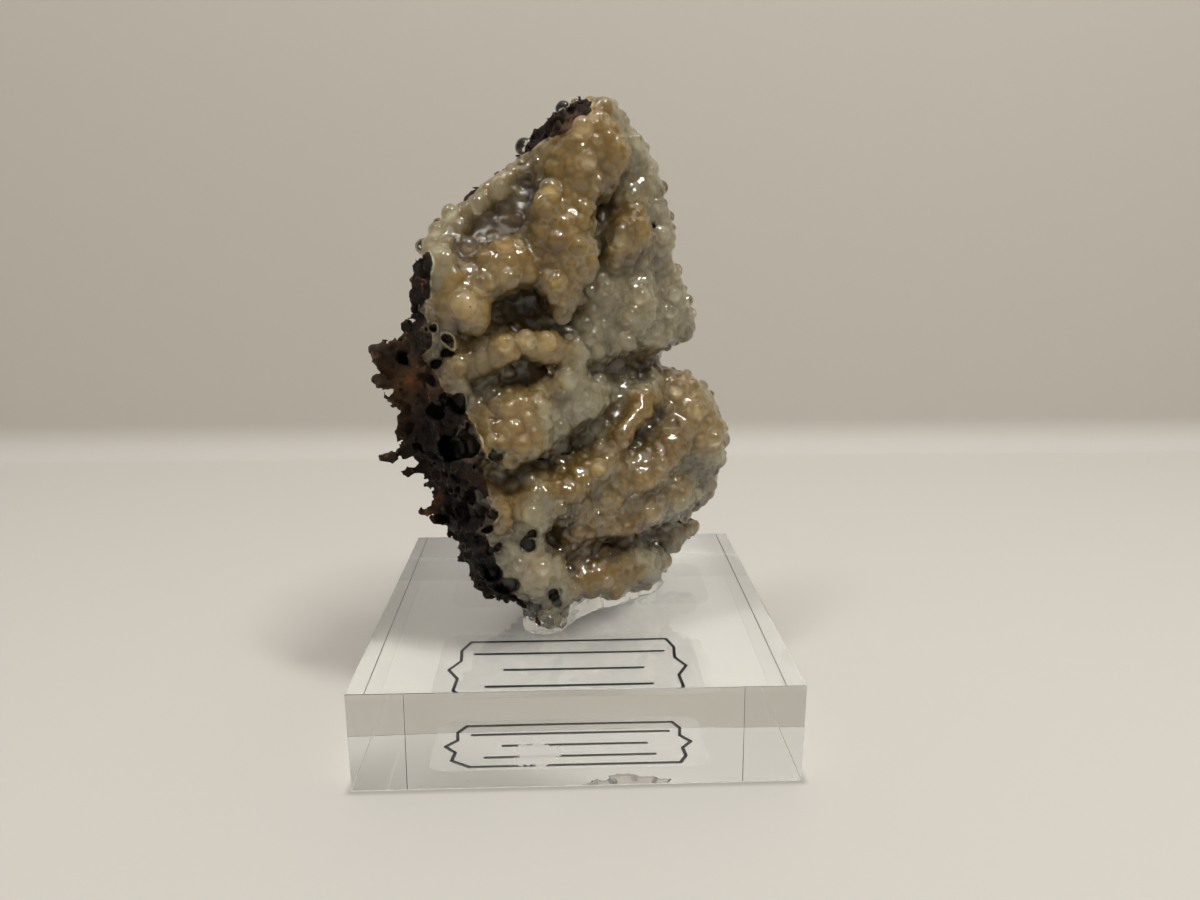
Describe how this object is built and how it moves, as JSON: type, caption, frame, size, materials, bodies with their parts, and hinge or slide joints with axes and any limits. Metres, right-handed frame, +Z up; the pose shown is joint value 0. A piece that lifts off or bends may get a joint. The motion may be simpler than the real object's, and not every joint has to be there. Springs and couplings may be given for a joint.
{
  "type": "smithsonite specimen on acrylic block",
  "caption": "Botryoidal smithsonite crust on dark vuggy matrix, standing on edge and glued to a clear square acrylic display block with labels under it.",
  "frame": {"origin": "centre of the underside of the block, on the surface it stands on", "axes": "+Z up; -Y is the side the front label and the crust face; the specimen stands turned 30 degrees about Z"},
  "size_m": [0.0508, 0.0508, 0.0757],
  "materials": {
    "stone": "glassy honey and grey-green beads on dull dark brown-black matrix",
    "glue": "clear set glue, glossy",
    "clear_acrylic": "clear cast acrylic, polished",
    "printed_film": "clear label film with a plain printed border",
    "plain_film": "plain pale label film"
  },
  "bodies": {
    "root": {"smithsonite": "stone", "adhesive": "glue", "acrylic_base": "clear_acrylic", "front_label": "printed_film", "rear_label": "plain_film"}
  },
  "joints": []
}
